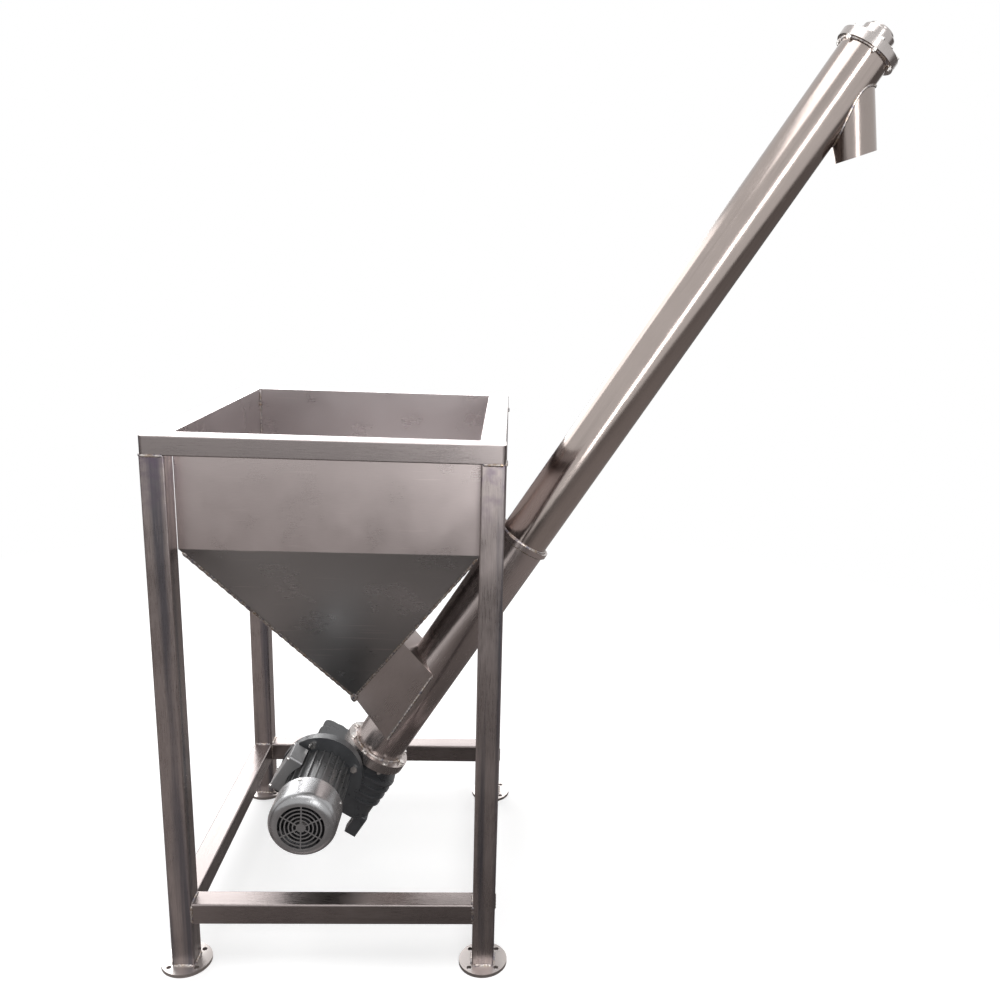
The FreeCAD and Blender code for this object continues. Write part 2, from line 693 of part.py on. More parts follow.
# Motor
def build_motor():
    x = worm_offset
    z = gear_centre
    flange = cross_rod(motor_flange_diameter / 2, input_face, motor_front, x, z)
    flange = flange.cut(cross_rod(rotor_shaft_diameter / 2 + 3, input_face - 1, motor_front + 1, x, z))
    screws = []
    for bolt_x, bolt_z in motor_bolt_places():
        hole_radius = motor_bolt_diameter / 2 + bolt_clearance
        flange = flange.cut(cross_rod(hole_radius, input_face - 1, motor_front + 1, bolt_x, bolt_z))
        screw = cap_screw(0, 0, 0, motor_bolt_depth, motor_bolt_diameter, motor_bolt_across)
        screw.rotate(Vector(0, 0, 0), Vector(1, 0, 0), -90)
        screw.translate(Vector(bolt_x, motor_front, bolt_z))
        screws.append(tilt(screw))
    add("motor_flange", tilt(flange))
    add("motor_flange_bolts", Part.makeCompound(screws))
    body = cross_rod(motor_body_diameter / 2, motor_front, body_end, x, z)
    fins = []
    for k in range(motor_fin_count):
        fin = block(motor_body_diameter / 2 - 2, motor_body_diameter / 2 + motor_fin_height,
                    motor_front + 6, cover_start - 2, -motor_fin_thickness / 2, motor_fin_thickness / 2)
        fin.rotate(Vector(0, 0, 0), Vector(0, 1, 0), 360.0 * (k + 0.5) / motor_fin_count)
        fin.translate(Vector(x, 0, z))
        fins.append(fin)
    body = body.fuse(fins)
    rotor_room = cross_rod(motor_body_diameter / 2 - 14, motor_front + 12, body_end - 12, x, z)
    shaft_room = cross_rod(rotor_shaft_diameter / 2 + 3, motor_front - 1, body_end + 1, x, z)
    add("motor_housing", tilt(body.cut(rotor_room.fuse(shaft_room))))
    shield = cross_rod(fan_cover_diameter / 2 - fan_cover_wall - slip_clearance, body_end, shield_end, x, z)
    bore = rotor_shaft_diameter / 2 + running_clearance
    shield = shield.cut(cross_rod(bore, body_end - 1, shield_end + 1, x, z))
    add("motor_end_shield", tilt(shield))
    rotor = cross_rod(motor_body_diameter / 2 - 18, motor_front + 16, body_end - 16, x, z)
    shaft_end = shield_end + fan_gap + fan_width
    shaft = cross_rod(rotor_shaft_diameter / 2, input_face - worm_socket, shaft_end, x, z)
    add("motor_rotor", tilt(rotor.fuse(shaft)))
    build_fan(x, z)
    build_fan_cover(x, z)
    build_terminal_box(x, z)


def build_fan(x, z):
    start = shield_end + fan_gap
    hub = cross_rod(fan_hub_diameter / 2, start, start + fan_width, x, z)
    disc = cross_rod(fan_diameter / 2, start, start + 2.5, x, z)
    blades = []
    for k in range(fan_blade_count):
        blade = block(fan_hub_diameter / 2 - 2, fan_diameter / 2, start, start + fan_width,
                      -fan_blade_thickness / 2, fan_blade_thickness / 2)
        blade.rotate(Vector(0, 0, 0), Vector(0, 1, 0), 360.0 * k / fan_blade_count)
        blade.translate(Vector(x, 0, z))
        blades.append(blade)
    bore = cross_rod(rotor_shaft_diameter / 2, start - 1, start + fan_width + 1, x, z)
    fan = hub.fuse([disc] + blades).cut(bore)
    add("cooling_fan", tilt(fan))


def build_fan_cover(x, z):
    outer = cross_rod(fan_cover_diameter / 2, cover_start, cover_end, x, z)
    rim = [e for e in outer.Edges if abs(e.CenterOfMass.y - cover_end) < 0.1]
    outer = outer.makeFillet(fan_cover_radius, rim)
    inner_radius = fan_cover_diameter / 2 - fan_cover_wall
    inner = cross_rod(inner_radius, cover_start - 1, cover_end - fan_cover_wall, x, z)
    rim = [e for e in inner.Edges if abs(e.CenterOfMass.y - cover_end + fan_cover_wall) < 0.1]
    inner = inner.makeFillet(fan_cover_radius - fan_cover_wall, rim)
    cover = outer.cut(inner)
    spokes = []
    for k in range(grille_spokes):
        spoke = block(0, fan_cover_diameter / 2, cover_end - 5, cover_end + 1,
                      -grille_bar / 2, grille_bar / 2)
        spoke.rotate(Vector(0, 0, 0), Vector(0, 1, 0), 360.0 * k / grille_spokes)
        spokes.append(spoke)
    for k in range(grille_ring_count):
        low = grille_start + k * (grille_slot + grille_bar)
        slot = cross_rod(low + grille_slot, cover_end - 5, cover_end + 1, 0, 0).cut(
            cross_rod(low, cover_end - 6, cover_end + 2, 0, 0))
        slot = slot.cut(Part.makeCompound(spokes))
        slot.translate(Vector(x, 0, z))
        cover = cover.cut(slot)
    add("fan_cover", tilt(cover))


def build_terminal_box(x, z):
    base = x + motor_body_diameter / 2 - 2
    start = motor_front + box_gap
    top = x + motor_body_diameter / 2 + box_height
    body = rounded_block(base, top, start, start + box_length, z - box_width / 2, z + box_width / 2,
                         6, Vector(1, 0, 0))
    fin_circle = motor_body_diameter / 2 + motor_fin_height + slip_clearance
    body = body.cut(cross_rod(fin_circle, motor_front, body_end, x, z))
    half = box_width / 2 + box_lid_overhang
    lid = rounded_block(top, top + box_lid_height,
                        start - box_lid_overhang, start + box_length + box_lid_overhang,
                        z - half, z + half, 7, Vector(1, 0, 0))
    rim = [e for e in lid.Edges if abs(e.CenterOfMass.x - top - box_lid_height) < 0.1]
    lid = lid.makeFillet(2, rim)
    add("terminal_box", tilt(body))
    add("terminal_box_lid", tilt(lid))
    low = z - box_width / 2
    middle = start + box_length / 2
    height = top - 16
    gland = hexagon(gland_diameter + 2, low - 6, low, height, middle)
    gland = gland.fuse(rod(gland_diameter / 2 - 1, low - 18, low - 6, height, middle))
    add("cable_gland", tilt(gland.cut(rod(gland_diameter / 4, low - 19, low - 8, height, middle))))


build_frame()
build_rails()
build_rim()
build_hopper()
build_chute()
build_tube()
build_gusset()
build_spout()
build_lower_flange()
build_top_end()
build_screw()
build_gearbox()
build_motor()

os.makedirs("parts", exist_ok=True)
for name, shape in nodes.items():
    shape.exportStep(os.path.join("parts", name + ".step"))
    volume = shape.Volume / 1000
    print(f"{name:26s} solids {len(shape.Solids)} volume {volume:.1f} cm3 valid {shape.isValid()}")
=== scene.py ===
import json
import math

import bmesh
import bpy
from mathutils import Matrix, Vector


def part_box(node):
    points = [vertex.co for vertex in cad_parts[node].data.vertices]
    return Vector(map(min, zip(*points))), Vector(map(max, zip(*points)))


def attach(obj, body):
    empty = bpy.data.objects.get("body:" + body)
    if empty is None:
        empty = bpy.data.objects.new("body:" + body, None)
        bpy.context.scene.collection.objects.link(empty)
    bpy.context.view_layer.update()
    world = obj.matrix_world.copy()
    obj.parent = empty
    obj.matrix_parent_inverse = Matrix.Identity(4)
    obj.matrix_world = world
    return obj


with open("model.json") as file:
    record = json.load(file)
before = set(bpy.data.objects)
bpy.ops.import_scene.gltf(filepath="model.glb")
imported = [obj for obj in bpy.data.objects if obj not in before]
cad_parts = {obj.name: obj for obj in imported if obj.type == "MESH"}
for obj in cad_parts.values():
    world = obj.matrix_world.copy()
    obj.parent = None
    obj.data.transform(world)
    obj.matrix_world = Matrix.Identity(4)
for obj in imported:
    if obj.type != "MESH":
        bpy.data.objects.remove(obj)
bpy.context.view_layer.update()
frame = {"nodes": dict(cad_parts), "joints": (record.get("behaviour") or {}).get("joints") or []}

bl_info = {
    "name": "Screw Conveyor Finish",
    "version": (1, 1, 0),
    "blender": (4, 5, 0),
    "location": "3D View > Sidebar > Conveyor",
    "description": "Finishes, welds and small fittings of an inclined screw conveyor",
    "category": "Object",
}

NODES = frame["nodes"]

# The screw line, read from its joint: where it crosses x = 0, its direction and the upward normal
SCREW_JOINT = next(j for j in frame["joints"] if j["name"] == "screw_spin")
AXIS = Vector(SCREW_JOINT["axis"]).normalized()
AXIS_ORIGIN = Vector(SCREW_JOINT["pos_m"]) - AXIS * (SCREW_JOINT["pos_m"][0] / AXIS.x)
ABOVE = Vector((-AXIS.z, 0.0, AXIS.x))
AXIS_TILT = math.atan2(AXIS.x, AXIS.z)
MOTOR_JOINT = next(j for j in frame["joints"] if j["name"] == "rotor_spin")
MOTOR_POINT = Vector(MOTOR_JOINT["pos_m"])

# Places along the screw line that the CAD source gives
GEARBOX_LOW = -0.080
END_FLANGE_HIGH = 0.092
CHUTE_START = 0.148
CHUTE_END = 0.357
COLLAR_START = 0.745
COLLAR_END = 0.757
TOP_FLANGE_LOW = 2.102
TUBE_END = 2.112
SPOUT_SETBACK = 0.057
TOP_NIPPLE = 2.142

# Other sizes that the CAD source gives
FOLD_HEIGHT = 0.970
SHEET = 0.003
GUSSET_RISES = (0.018, 0.078)
GUSSET_DROPS = (0.084, 0.062)
SPOUT_LEAN = math.radians(8.6)
SPOUT_RADIUS = 0.049
END_HOUSING_RADIUS = 0.039
LID_TOP = 0.190
COVER_SCREWS = 0.264

# Small fasteners: sizes, and places along the screw line, above it and in front of it
COVER_SCREW_RADIUS = 0.0042
COVER_SCREW_HEIGHT = 0.0032
COVER_SCREW_SINK = 0.0004
LID_SCREWS_ALONG = (-0.039, 0.043)
LID_SCREWS_FRONT = (0.118, 0.188)
OIL_PLUG_RADIUS = 0.0095
OIL_PLUG_HEIGHT = 0.006
OIL_PLUG_PLACES = ((0.098, 0.050), (0.098, -0.050), (-0.052, 0.0))
NIPPLE_RADIUS = 0.0042
NIPPLE_HEIGHT = 0.016
NIPPLE_SINK = 0.001

# Weld beads: shares of a full bead's width, stops short of an edge, and distances off the steel
THIN_BEAD = 0.8
RIPPLE_SWELL = 1.28
END_TAPER = 0.45
CORNER_STOP = 0.012
EDGE_STOP = 0.004
SHEET_STAND_OFF = 0.001
TUBE_STAND_OFF = 0.0015
WALL_STAND_OFF = 0.002
SPOUT_STAND_OFF = 0.0005

SMOOTH_ANGLE = math.radians(40.0)

# The photo's width in pixels and the width of the camera's sensor in millimetres
PICTURE_SIZE = 1000.0
SENSOR_WIDTH = 36.0


class ConveyorSteel(bpy.types.PropertyGroup):
    """Colours and finish of the stainless steel."""
    frame_color: bpy.props.FloatVectorProperty(
        name="Frame", description="Colour of the satin legs and rails", subtype="COLOR",
        size=3, min=0.0, max=1.0, default=(0.41, 0.36, 0.35))
    rim_color: bpy.props.FloatVectorProperty(
        name="Rim", description="Colour of the satin rim round the hopper", subtype="COLOR",
        size=3, min=0.0, max=1.0, default=(0.31, 0.275, 0.27))
    sheet_color: bpy.props.FloatVectorProperty(
        name="Hopper sheet", description="Colour of the satin hopper sheet", subtype="COLOR",
        size=3, min=0.0, max=1.0, default=(0.57, 0.50, 0.49))
    pipe_color: bpy.props.FloatVectorProperty(
        name="Lower pipe", description="Colour of the duller pipe and chute under the hopper",
        subtype="COLOR", size=3, min=0.0, max=1.0, default=(0.44, 0.385, 0.37))
    tube_color: bpy.props.FloatVectorProperty(
        name="Tube", description="Colour of the polished tube", subtype="COLOR",
        size=3, min=0.0, max=1.0, default=(0.40, 0.345, 0.32))
    flange_color: bpy.props.FloatVectorProperty(
        name="Flanges", description="Colour of the turned flanges and feet", subtype="COLOR",
        size=3, min=0.0, max=1.0, default=(0.46, 0.425, 0.41))
    grain_size: bpy.props.FloatProperty(
        name="Grain", description="Width of one polishing line", unit="LENGTH", subtype="DISTANCE",
        min=0.0001, max=0.01, default=0.0009)


class ConveyorWelds(bpy.types.PropertyGroup):
    """Sizes of the weld beads."""
    bead_width: bpy.props.FloatProperty(
        name="Bead", description="Width of a weld bead", unit="LENGTH", subtype="DISTANCE",
        min=0.001, max=0.02, default=0.006)
    ripple_length: bpy.props.FloatProperty(
        name="Ripple", description="Length of one ripple of a bead", unit="LENGTH", subtype="DISTANCE",
        min=0.001, max=0.02, default=0.004)


class ConveyorPaint(bpy.types.PropertyGroup):
    """Colours of the gearmotor."""
    gearbox_color: bpy.props.FloatVectorProperty(
        name="Gearbox", description="Paint on the gearbox case", subtype="COLOR",
        size=3, min=0.0, max=1.0, default=(0.064, 0.067, 0.072))
    motor_color: bpy.props.FloatVectorProperty(
        name="Motor", description="Paint on the motor body", subtype="COLOR",
        size=3, min=0.0, max=1.0, default=(0.27, 0.27, 0.275))


class ConveyorStudio(bpy.types.PropertyGroup):
    """Camera and light."""
    camera_place: bpy.props.FloatVectorProperty(
        name="Camera", description="Place of the camera", subtype="TRANSLATION", unit="LENGTH",
        size=3, default=(0.3656, -2.2713, 1.5685))
    camera_pitch: bpy.props.FloatProperty(
        name="Pitch", description="How far the camera looks down", subtype="ANGLE",
        default=math.radians(13.75))
    camera_yaw: bpy.props.FloatProperty(
        name="Yaw", description="How far the camera looks to the right", subtype="ANGLE",
        default=math.radians(3.19))
    camera_roll: bpy.props.FloatProperty(
        name="Roll", description="How far the camera leans", subtype="ANGLE", default=math.radians(2.25))
    focal_pixels: bpy.props.FloatProperty(
        name="Focal length", description="Focal length in picture pixels", default=960.45)
    centre_pixel: bpy.props.FloatProperty(
        name="Centre", description="Picture column of the optical axis", default=560.0)
    floor_color: bpy.props.FloatVectorProperty(
        name="Floor", description="Colour of the floor round the object", subtype="COLOR",
        size=3, min=0.0, max=1.0, default=(0.36, 0.33, 0.32))


# Materials
def new_material(name):
    material = bpy.data.materials.new(name)
    material.use_nodes = True
    return material, material.node_tree.nodes, material.node_tree.links


def object_space(nodes, links, turn=(0, 0, 0), stretch=(1, 1, 1)):
    """Object coordinates, seen in a turned space whose lengths are stretched."""
    place = nodes.new("ShaderNodeTexCoord")
    mapping = nodes.new("ShaderNodeMapping")
    mapping.vector_type = "TEXTURE"
    mapping.inputs["Rotation"].default_value = turn
    mapping.inputs["Scale"].default_value = stretch
    links.new(place.outputs["Object"], mapping.inputs["Vector"])
    return mapping.outputs["Vector"]


def noise(nodes, links, vector, scale, detail=3.0, rough=0.5):
    texture = nodes.new("ShaderNodeTexNoise")
    texture.inputs["Scale"].default_value = scale
    texture.inputs["Detail"].default_value = detail
    texture.inputs["Roughness"].default_value = rough
    links.new(vector, texture.inputs["Vector"])
    return texture.outputs["Fac"]


def spread(nodes, links, value, low, high, start=0.3, stop=0.7):
    """Map a texture value to a range."""
    ranged = nodes.new("ShaderNodeMapRange")
    ranged.inputs["From Min"].default_value = start
    ranged.inputs["From Max"].default_value = stop
    ranged.inputs["To Min"].default_value = low
    ranged.inputs["To Max"].default_value = high
    links.new(value, ranged.inputs["Value"])
    return ranged.outputs["Result"]


def blend_color(nodes, links, factor, first, second):
    """Mix two colours, each a plain colour or another node's output."""
    mix = nodes.new("ShaderNodeMix")
    mix.data_type = "RGBA"
    for socket, color in (("A", first), ("B", second)):
        if isinstance(color, bpy.types.NodeSocket):
            links.new(color, mix.inputs[socket])
        else:
            mix.inputs[socket].default_value = (*color, 1)
    links.new(factor, mix.inputs["Factor"])
    return mix.outputs["Result"]


def combine(nodes, links, operation, one, two):
    total = nodes.new("ShaderNodeMath")
    total.operation = operation
    for place, value in enumerate((one, two)):
        if isinstance(value, bpy.types.NodeSocket):
            links.new(value, total.inputs[place])
        else:
            total.inputs[place].default_value = value
    return total.outputs["Value"]


def relief(nodes, links, shader, heights):
    """Chain bumps of (height, strength, distance) into the shader's normal."""
    last = None
    for height, strength, distance in heights:
        bump = nodes.new("ShaderNodeBump")
        bump.inputs["Strength"].default_value = strength
        bump.inputs["Distance"].default_value = distance
        links.new(height, bump.inputs["Height"])
        if last:
            links.new(last, bump.inputs["Normal"])
        last = bump.outputs["Normal"]
    links.new(last, shader.inputs["Normal"])


def part_height(nodes, links, low, high):
    """0 below one height of the object and 1 above another."""
    split = nodes.new("ShaderNodeSeparateXYZ")
    links.new(object_space(nodes, links), split.inputs["Vector"])
    return spread(nodes, links, split.outputs["Z"], 0.0, 1.0, low, high)


def facing_inward(nodes, links):
    """1 on faces that look at the hopper's middle line and 0 on those that look away from it."""
    surface = nodes.new("ShaderNodeNewGeometry")
    level = nodes.new("ShaderNodeVectorMath")
    level.operation = "MULTIPLY"
    links.new(object_space(nodes, links), level.inputs[0])
    level.inputs[1].default_value = (1.0, 1.0, 0.0)
    across = nodes.new("ShaderNodeVectorMath")
    across.operation = "DOT_PRODUCT"
    links.new(level.outputs["Vector"], across.inputs[0])
    links.new(surface.outputs["Normal"], across.inputs[1])
    return spread(nodes, links, across.outputs["Value"], 1.0, 0.0, -0.01, 0.01)


def steel(name, color, roughness, grain, turn=(0, 0, 0), stretch=(1, 1, 1), contrast=0.12, smudge=0.10,
          streak=None, streak_share=0.5, waviness=0.0, painted_shade_below=None, bright_inside=None, heat_above=None,
          line_depth=0.05, line_gloss=0.045):
    """Stainless steel with fine polishing lines, long streaks, faint clouds, smudges and scratches.

    The argument for painted shade holds a share, a height and a darker colour painted below that height,
    heat_above two heights and a tint, and bright_inside the colour of the faces that look into the hopper.
    """
    material, nodes, links = new_material(name)
    shader = nodes["Principled BSDF"]
    shader.inputs["Metallic"].default_value = 1.0
    lined = object_space(nodes, links, turn, stretch)
    lines = noise(nodes, links, lined, 1.0 / grain, 2.0, 0.6)
    streaks = noise(nodes, links, lined, 26.0, 3.0, 0.6)
    clouds = noise(nodes, links, object_space(nodes, links), 9.0, 4.0, 0.55)
    scratches = spread(nodes, links, noise(nodes, links, lined, 210.0, 1.0, 0.4), 0.0, 1.0, 0.70, 0.78)
    dark = [c * (1 - contrast) for c in color]
    light = [min(1.0, c * (1 + contrast)) for c in color]
    tone = combine(nodes, links, "ADD", spread(nodes, links, lines, 0.0, 0.6),
                   spread(nodes, links, clouds, 0.0, 0.4))
    shade = blend_color(nodes, links, tone, dark, light)
    if streak:
        shade = blend_color(nodes, links, spread(nodes, links, streaks, 0.0, streak_share, 0.48, 0.62),
                            shade, streak)
    # Painted shade: below the given height the colour turns towards the given darker colour.
    if painted_shade_below:
        share, height, dull = painted_shade_below
        fold_edge = 0.002
        above = part_height(nodes, links, height - fold_edge, height + fold_edge)
        below = spread(nodes, links, above, share, 0.0, 0.0, 1.0)
        shade = blend_color(nodes, links, below, shade, dull)
    if bright_inside:
        shade = blend_color(nodes, links, facing_inward(nodes, links), shade, bright_inside)
    if heat_above:
        low, high, tint = heat_above
        patches = noise(nodes, links, object_space(nodes, links), 22.0, 3.0, 0.6)
        patches = spread(nodes, links, patches, 0.0, 0.8, 0.42, 0.62)
        heated = combine(nodes, links, "MULTIPLY", patches, part_height(nodes, links, low, high))
        shade = blend_color(nodes, links, heated, shade, tint)
    shade = blend_color(nodes, links, combine(nodes, links, "MULTIPLY", scratches, 0.2), shade,
                        [min(1.0, c * 1.5) for c in color])
    links.new(shade, shader.inputs["Base Color"])
    gloss = combine(nodes, links, "ADD",
                    spread(nodes, links, lines, roughness - line_gloss, roughness + line_gloss),
                    spread(nodes, links, clouds, -smudge / 2, smudge / 2))
    links.new(gloss, shader.inputs["Roughness"])
    heights = [(lines, line_depth, 0.001)]
    if waviness:
        heights.append((noise(nodes, links, object_space(nodes, links), 5.0, 1.0, 0.4), 0.5, waviness))
    relief(nodes, links, shader, heights)
    return material


def weld_metal(name):
    """Weld metal: bright ripples with straw and blue heat tint between them."""
    material, nodes, links = new_material(name)
    shader = nodes["Principled BSDF"]
    shader.inputs["Metallic"].default_value = 1.0
    space = object_space(nodes, links)
    patches = noise(nodes, links, space, 60.0, 3.0, 0.6)
    burnt = blend_color(nodes, links, spread(nodes, links, patches, 0.0, 1.0, 0.4, 0.6),
                        (0.42, 0.33, 0.25), (0.20, 0.19, 0.23))
    bright = noise(nodes, links, space, 210.0, 2.0, 0.5)
    links.new(blend_color(nodes, links, spread(nodes, links, bright, 0.0, 1.0, 0.42, 0.62), burnt,
                          (0.62, 0.58, 0.55)), shader.inputs["Base Color"])
    links.new(spread(nodes, links, patches, 0.24, 0.42), shader.inputs["Roughness"])
    relief(nodes, links, shader, [(noise(nodes, links, space, 900.0, 2.0, 0.5), 0.2, 0.0004)])
    return material


def paint(name, color, roughness, metal=0.0):
    """Paint over a cast surface, with a fine orange peel, dusty clouds and small chips."""
    peel_size, peel_height = 0.0012, 0.0003
    material, nodes, links = new_material(name)
    shader = nodes["Principled BSDF"]
    shader.inputs["Metallic"].default_value = metal
    space = object_space(nodes, links)
    peel = noise(nodes, links, space, 1.0 / peel_size, 2.0, 0.5)
    clouds = noise(nodes, links, space, 14.0, 4.0, 0.6)
    dusty = [min(1.0, c * 1.25 + 0.012) for c in color]
    shade = blend_color(nodes, links, spread(nodes, links, clouds, 0.0, 1.0, 0.35, 0.75), color, dusty)
    chips = spread(nodes, links, noise(nodes, links, space, 130.0, 2.0, 0.5), 0.0, 0.5, 0.70, 0.72)
    links.new(blend_color(nodes, links, chips, shade, [min(1.0, c * 1.9 + 0.03) for c in color]),
              shader.inputs["Base Color"])
    links.new(spread(nodes, links, clouds, roughness - 0.06, roughness + 0.10), shader.inputs["Roughness"])
    relief(nodes, links, shader, [(peel, 0.5, peel_height)])
    return material


def dress(names, material):
    """Give CAD nodes a material."""
    for name in names:
        slots = NODES[name].data.materials
        slots.clear()
        slots.append(material)


def names_with(*starts):
    """The CAD nodes whose names start with one of these words."""
    return [name for name in NODES if name.startswith(starts)]


def shared(name):
    """A material that another step has made."""
    material = bpy.data.materials.get(name)
    if material is None:
        raise RuntimeError(f"The material {name} isn't made yet")
    return material


# Places and small modelling steps
def beside_tube(along, above=0.0, front=0.0):
    """A point measured from the screw line, in metres."""
    return AXIS_ORIGIN + AXIS * along + ABOVE * above + Vector((0.0, -front, 0.0))


def edit_start():
    bpy.ops.object.mode_set(mode="EDIT")
    bpy.ops.mesh.select_mode(type="VERT")
    bpy.ops.mesh.select_all(action="DESELECT")


def edit_end():
    bpy.ops.object.mode_set(mode="OBJECT")


def pick_points(piece, test):
    """Select the points of a piece that pass a test, in edit mode."""
    bpy.ops.mesh.select_all(action="DESELECT")
    shape = bmesh.from_edit_mesh(piece.data)
    for point in shape.verts:
        if test(point.co):
            point.select_set(True)
    shape.select_flush_mode()
    bmesh.update_edit_mesh(piece.data)


def pick_edges(piece, test):
    """Select the edges of a piece that pass a test, in edit mode."""
    bpy.ops.mesh.select_all(action="DESELECT")
    bpy.ops.mesh.select_mode(type="EDGE")
    shape = bmesh.from_edit_mesh(piece.data)
    for edge in shape.edges:
        if test(edge.verts[0].co, edge.verts[1].co):
            edge.select_set(True)
    shape.select_flush_mode()
    bmesh.update_edit_mesh(piece.data)


def pick_faces(piece, test):
    """Select the faces of a piece whose middle passes a test, in edit mode."""
    bpy.ops.mesh.select_all(action="DESELECT")
    bpy.ops.mesh.select_mode(type="FACE")
    shape = bmesh.from_edit_mesh(piece.data)
    for face in shape.faces:
        if test(face.calc_center_median()):
            face.select_set(True)
    shape.select_flush_mode()
    bmesh.update_edit_mesh(piece.data)


def settle(piece, place, direction=Vector((0.0, 0.0, 1.0))):
    """Turn a piece that was made along z, put it in its place and keep that place in its mesh."""
    bpy.ops.object.select_all(action="DESELECT")
    piece.select_set(True)
    bpy.context.view_layer.objects.active = piece
    piece.rotation_euler = direction.to_track_quat("Z", "Y").to_euler()
    piece.location = place
    bpy.ops.object.transform_apply(location=True, rotation=True, scale=True)
    return piece


def copy_piece(piece):
    """A copy with its own mesh."""
    bpy.ops.object.select_all(action="DESELECT")
    piece.select_set(True)
    bpy.context.view_layer.objects.active = piece
    bpy.ops.object.duplicate(linked=False)
    return bpy.context.object


def join_pieces(pieces, name):
    """Join pieces into one and give it a name."""
    bpy.ops.object.select_all(action="DESELECT")
    for piece in pieces:
        piece.select_set(True)
    bpy.context.view_layer.objects.active = pieces[0]
    if len(pieces) > 1:
        bpy.ops.object.join()
    joined = bpy.context.object
    joined.name = name
    joined.data.name = name
    return joined


def finish_piece(piece, material):
    """Smooth a piece, give it its material and fix it to the frame."""
    bpy.ops.object.select_all(action="DESELECT")
    piece.select_set(True)
    bpy.context.view_layer.objects.active = piece
    bpy.ops.object.shade_smooth_by_angle(angle=SMOOTH_ANGLE)
    piece.data.materials.clear()
    piece.data.materials.append(material)
    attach(piece, "frame")


def straight_bead(length, width, ripple):
    """A weld bead along z with its middle at the origin, rippled and drawn in at its ends."""
    bpy.ops.object.select_all(action="DESELECT")
    bpy.ops.mesh.primitive_cylinder_add(vertices=8, radius=width / 2, depth=length, location=(0, 0, 0))
    bead = bpy.context.object
    cuts = max(3, 2 * round(length / ripple / 2) - 1)
    step = length / (cuts + 1)
    edit_start()
    pick_edges(bead, lambda a, b: abs(a.z - b.z) > length / 2)
    bpy.ops.mesh.subdivide(number_cuts=cuts)
    bpy.ops.mesh.select_mode(type="VERT")
    pick_points(bead, lambda p: round((p.z + length / 2) / step) % 2 == 1)
    bpy.ops.transform.resize(value=(RIPPLE_SWELL, RIPPLE_SWELL, 1.0))
    pick_points(bead, lambda p: abs(p.z) > length / 2 - step / 2)
    bpy.ops.transform.resize(value=(END_TAPER, END_TAPER, 1.0))
    edit_end()
    return bead


def run_bead(start, end, width, ripple):
    """A weld bead from one point to another."""
    run = end - start
    return settle(straight_bead(run.length, width, ripple), (start + end) / 2, run)


def ring_bead(place, direction, radius, width, ripple):
    """A weld bead round a pipe."""
    bpy.ops.object.select_all(action="DESELECT")
    steps = 2 * round(math.pi * radius / ripple)
    bpy.ops.mesh.primitive_torus_add(major_radius=radius, minor_radius=width / 2, major_segments=steps,
                                     minor_segments=8, location=(0, 0, 0))
    bead = bpy.context.object
    edit_start()
    pick_points(bead, lambda p: round(math.atan2(p.y, p.x) / (2 * math.pi) * steps) % 2 == 1)
    bpy.ops.transform.shrink_fatten(value=width * 0.13)
    edit_end()
    return settle(bead, place, direction)


def weld_blob(place, width):
    """A lump of weld where several beads meet."""
    bpy.ops.object.select_all(action="DESELECT")
    bpy.ops.mesh.primitive_ico_sphere_add(subdivisions=3, radius=width * 1.5, location=(0, 0, 0))
    blob = bpy.context.object
    edit_start()
    bpy.ops.mesh.select_all(action="SELECT")
    bpy.ops.transform.resize(value=(1.15, 0.75, 2.1))
    bpy.ops.transform.vertex_random(offset=width * 0.08, uniform=0.0, normal=1.0, seed=4)
    bpy.ops.mesh.vertices_smooth(factor=0.5)
    edit_end()
    return settle(blob, place)


def socket_screw(radius, height):
    """A round screw head along z, with a recess, a rounded rim and a foot that reaches below the origin."""
    bpy.ops.object.select_all(action="DESELECT")
    bpy.ops.mesh.primitive_cylinder_add(vertices=24, radius=radius, depth=height * 1.4,
                                        location=(0, 0, height * 0.3))
    head = bpy.context.object
    edit_start()
    pick_edges(head, lambda a, b: min(a.z, b.z) > height * 0.9)
    bpy.ops.mesh.bevel(offset=height * 0.2, segments=2)
    pick_faces(head, lambda middle: middle.z > height * 0.999)
    bpy.ops.mesh.inset(thickness=radius * 0.32)
    bpy.ops.mesh.extrude_region_move(TRANSFORM_OT_translate={"value": (0, 0, -height * 0.55)})
    edit_end()
    return head


def grease_nipple(radius, height):
    """A nipple along z: a collar, a waist and a round ball head."""
    bpy.ops.object.select_all(action="DESELECT")
    bpy.ops.mesh.primitive_cylinder_add(vertices=24, radius=radius, depth=height * 0.35,
                                        location=(0, 0, height * 0.175))
    nipple = bpy.context.object
    profile = ((0.0, 0.62), (0.3, 1.0), (0.08, 1.35), (0.12, 1.0), (0.10, 0.6), (0.03, 0.4))
    edit_start()
    pick_faces(nipple, lambda middle: middle.z > height * 0.349)
    for rise, scale in profile:
        bpy.ops.mesh.extrude_region_move(TRANSFORM_OT_translate={"value": (0, 0, rise * height)})
        bpy.ops.transform.resize(value=(scale, scale, 1.0))
    edit_end()
    return nipple


